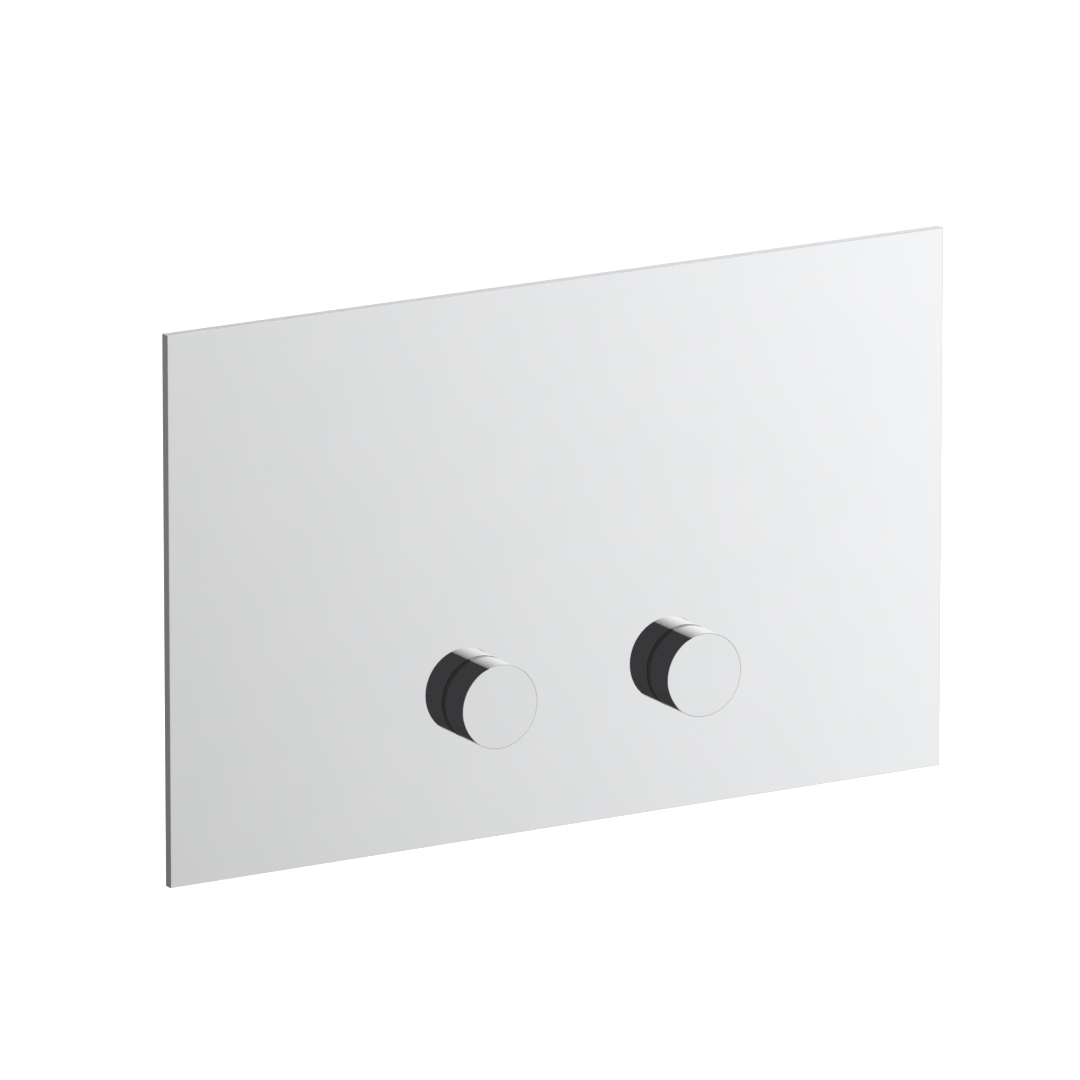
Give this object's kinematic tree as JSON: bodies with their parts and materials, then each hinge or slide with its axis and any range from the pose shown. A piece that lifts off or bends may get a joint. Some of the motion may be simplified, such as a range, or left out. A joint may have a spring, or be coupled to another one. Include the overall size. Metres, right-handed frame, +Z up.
{
  "type": "flush button plate",
  "caption": "Flat rectangular metal wall plate with round push buttons that slide in on springs and work a concealed cistern's flush valve through push rods.",
  "frame": {"origin": "middle of the plate's outline, on the wall's surface", "axes": "+X along the plate to the viewer's right, +Y into the wall, +Z up"},
  "size_m": [0.26, 0.0955, 0.164],
  "materials": {
    "polished_chrome": "polished",
    "seal_foam": "closed-cell foam",
    "carrier_plastic": "moulded",
    "frame_plastic": "moulded",
    "bolt_plastic": "moulded nylon",
    "bearing_plastic": "moulded acetal",
    "rod_plastic": "moulded acetal",
    "bumper_rubber": "moulded",
    "stainless_steel": "turned",
    "zinc_steel": "zinc plated",
    "spring_steel": "drawn wire"
  },
  "bodies": {
    "plate_assembly": {"front_plate": "polished_chrome", "wall_seal": "seal_foam", "button_carrier": "carrier_plastic", "mounting_frame": "frame_plastic", "plate_studs": "stainless_steel", "stud_washers": "zinc_steel", "stud_nuts": "zinc_steel", "frame_bolts": "bolt_plastic", "frame_nuts": "bolt_plastic", "left_return_spring": "spring_steel", "left_guide_bush": "bearing_plastic", "left_rear_bush": "bearing_plastic", "left_bumper": "bumper_rubber", "left_stop_washer": "bumper_rubber", "right_return_spring": "spring_steel", "right_guide_bush": "bearing_plastic", "right_rear_bush": "bearing_plastic", "right_bumper": "bumper_rubber", "right_stop_washer": "bumper_rubber"},
    "left_button": {"left_button_cap": "polished_chrome", "left_button_sleeve": "polished_chrome", "left_plunger": "stainless_steel", "left_retaining_clip": "spring_steel", "left_rod_nut": "zinc_steel", "left_push_rod": "rod_plastic"},
    "right_button": {"right_button_cap": "polished_chrome", "right_button_sleeve": "polished_chrome", "right_plunger": "stainless_steel", "right_retaining_clip": "spring_steel", "right_rod_nut": "zinc_steel", "right_push_rod": "rod_plastic"}
  },
  "joints": [
    {"name": "left_button_press", "type": "slide", "parent": "plate_assembly", "child": "left_button", "axis": [0, 1, 0], "range_m": [0, 0.008], "stiffness_N_per_m": 600, "springref_m": -0.013, "deforming": ["left_return_spring"]},
    {"name": "right_button_press", "type": "slide", "parent": "plate_assembly", "child": "right_button", "axis": [0, 1, 0], "range_m": [0, 0.008], "stiffness_N_per_m": 600, "springref_m": -0.013, "deforming": ["right_return_spring"]}
  ]
}
